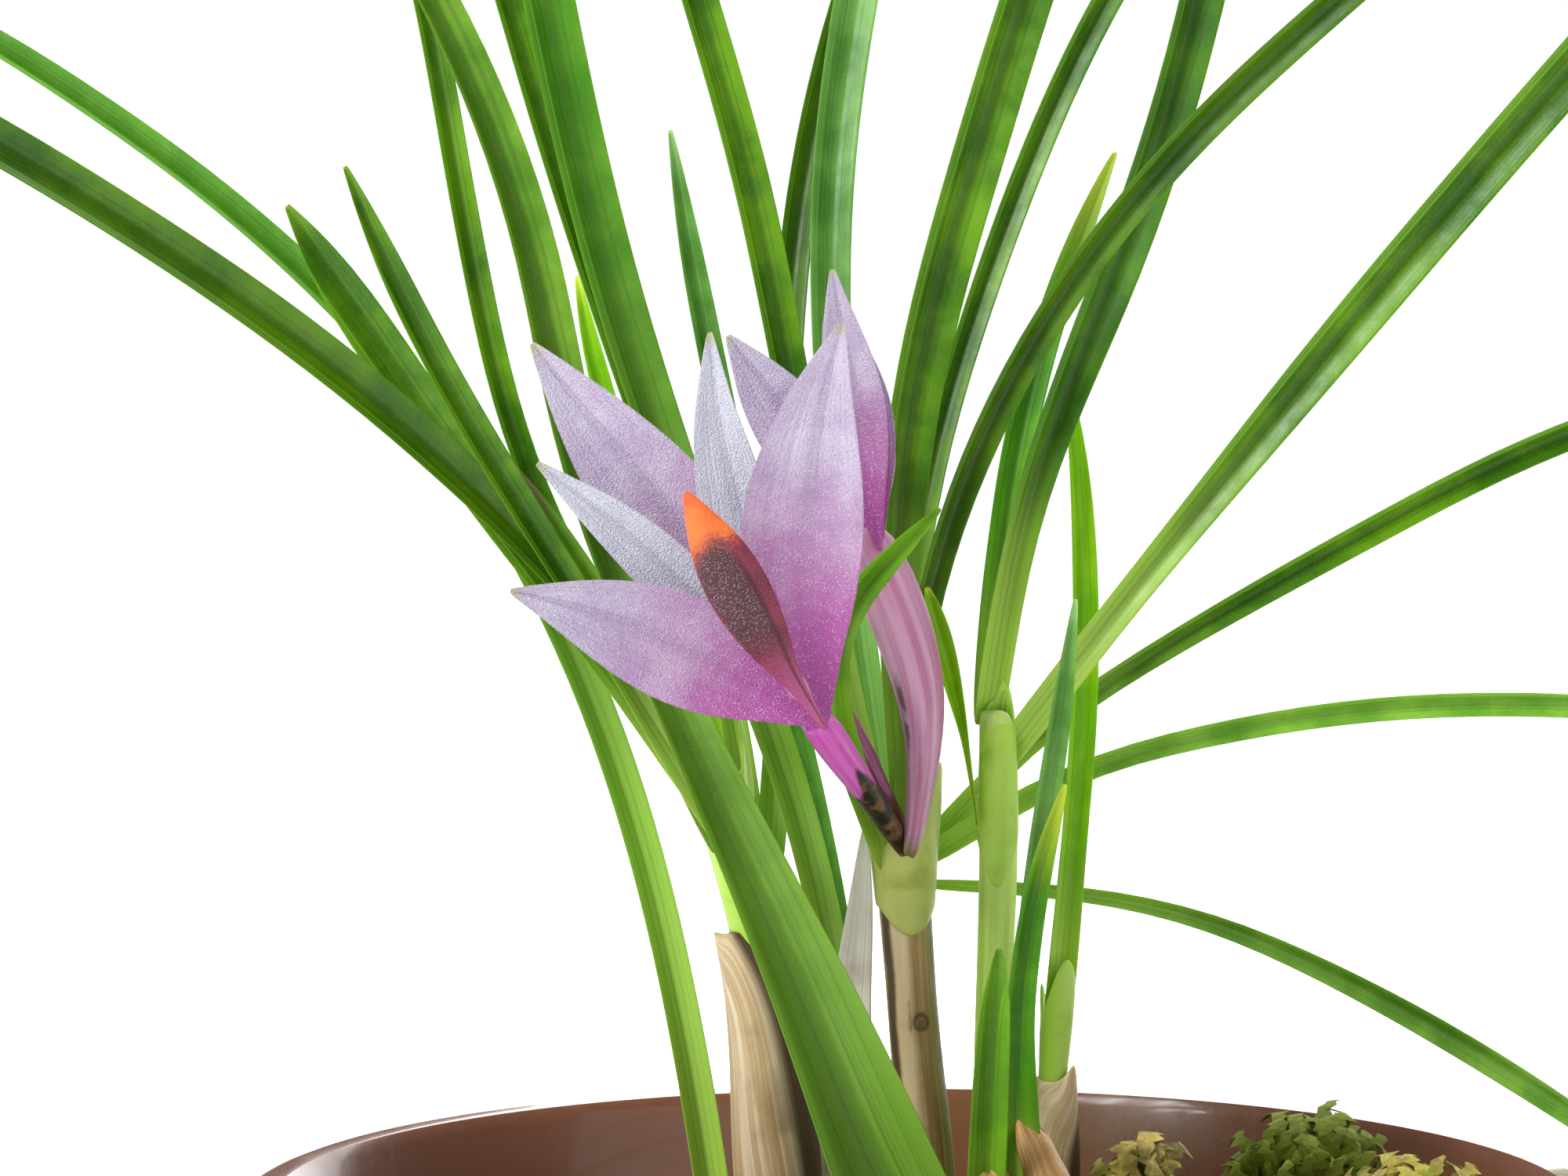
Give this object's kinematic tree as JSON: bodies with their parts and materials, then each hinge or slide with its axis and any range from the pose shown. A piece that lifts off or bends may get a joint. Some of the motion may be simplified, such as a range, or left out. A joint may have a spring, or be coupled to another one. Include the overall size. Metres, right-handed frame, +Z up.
{
  "type": "potted orchid",
  "caption": "Miniature orchid with narrow channelled leaves, jointed canes and violet flowers with dark red lips, in a round plastic pot.",
  "frame": {"origin": "middle of the pot's flat underside, on the surface it stands on", "axes": "+Z up, +Y towards the back of the plant, +X to the right seen from the front"},
  "size_m": [0.1448, 0.075, 0.1753],
  "materials": {
    "terracotta_plastic": "glossy",
    "bark_mix": "rough",
    "moss": "rough",
    "dry_leaf": "matt, crinkled",
    "rhizome_bark": "rough",
    "cane_tan": "dry, fibrous",
    "stem_green": "satin",
    "papery_sheath": "dry, papery",
    "leaf_green": "waxy",
    "leaf_fresh": "waxy",
    "sepal_violet": "fine sparkle",
    "lip_crimson": "velvety",
    "flower_stalk": "satin"
  },
  "bodies": {
    "root": {"pot": "terracotta_plastic", "potting_mix": "bark_mix", "moss_right": "moss", "moss_back": "moss", "moss_small": "moss", "dry_leaf_scrap": "dry_leaf", "rhizome": "rhizome_bark", "left_cane": "stem_green", "left_back_cane": "stem_green", "centre_cane": "cane_tan", "right_stem": "stem_green", "back_right_cane": "stem_green", "left_papery_sheath": "papery_sheath", "right_papery_sheath": "papery_sheath", "centre_white_sheath": "papery_sheath", "front_broad_leaf": "leaf_green", "left_far_leaf": "leaf_green", "broad_tall_leaf": "leaf_green", "thin_middle_leaf": "leaf_green", "front_shoot": "leaf_fresh", "left_long_leaf": "leaf_green", "left_round_leaf": "leaf_green", "left_pointed_leaf": "leaf_green", "left_back_tall_leaf": "leaf_green", "thin_tall_leaf": "leaf_green", "young_back_leaf": "leaf_fresh", "dark_back_leaf": "leaf_green", "browned_tip_leaf": "leaf_green", "front_crossing_leaf": "leaf_green", "middle_tall_leaf": "leaf_green", "front_upright_leaf": "leaf_green", "right_back_tall_leaf": "leaf_green", "pale_back_leaf": "leaf_green", "right_arching_leaf": "leaf_green", "right_low_leaf": "leaf_green", "right_drooping_leaf": "leaf_green", "small_front_leaf": "leaf_fresh", "right_tall_leaf": "leaf_green", "right_broad_leaf": "leaf_green", "yellow_tip_leaf": "leaf_green", "stem_left_leaf": "leaf_fresh", "yellow_upright_leaf": "leaf_fresh", "blue_green_leaf": "leaf_green", "sheathing_leaf": "leaf_fresh", "front_dorsal_sepal": "sepal_violet", "front_left_petal": "sepal_violet", "front_upper_petal": "sepal_violet", "front_left_sepal": "sepal_violet", "front_right_sepal": "sepal_violet", "front_column": "flower_stalk", "front_lip": "lip_crimson", "front_ovary": "flower_stalk", "back_lip": "lip_crimson", "back_left_petal": "sepal_violet", "back_right_petal": "sepal_violet", "back_left_sepal": "sepal_violet", "back_right_sepal": "sepal_violet", "back_dorsal_sepal": "sepal_violet", "back_ovary": "flower_stalk", "side_stalk": "flower_stalk"}
  },
  "joints": []
}
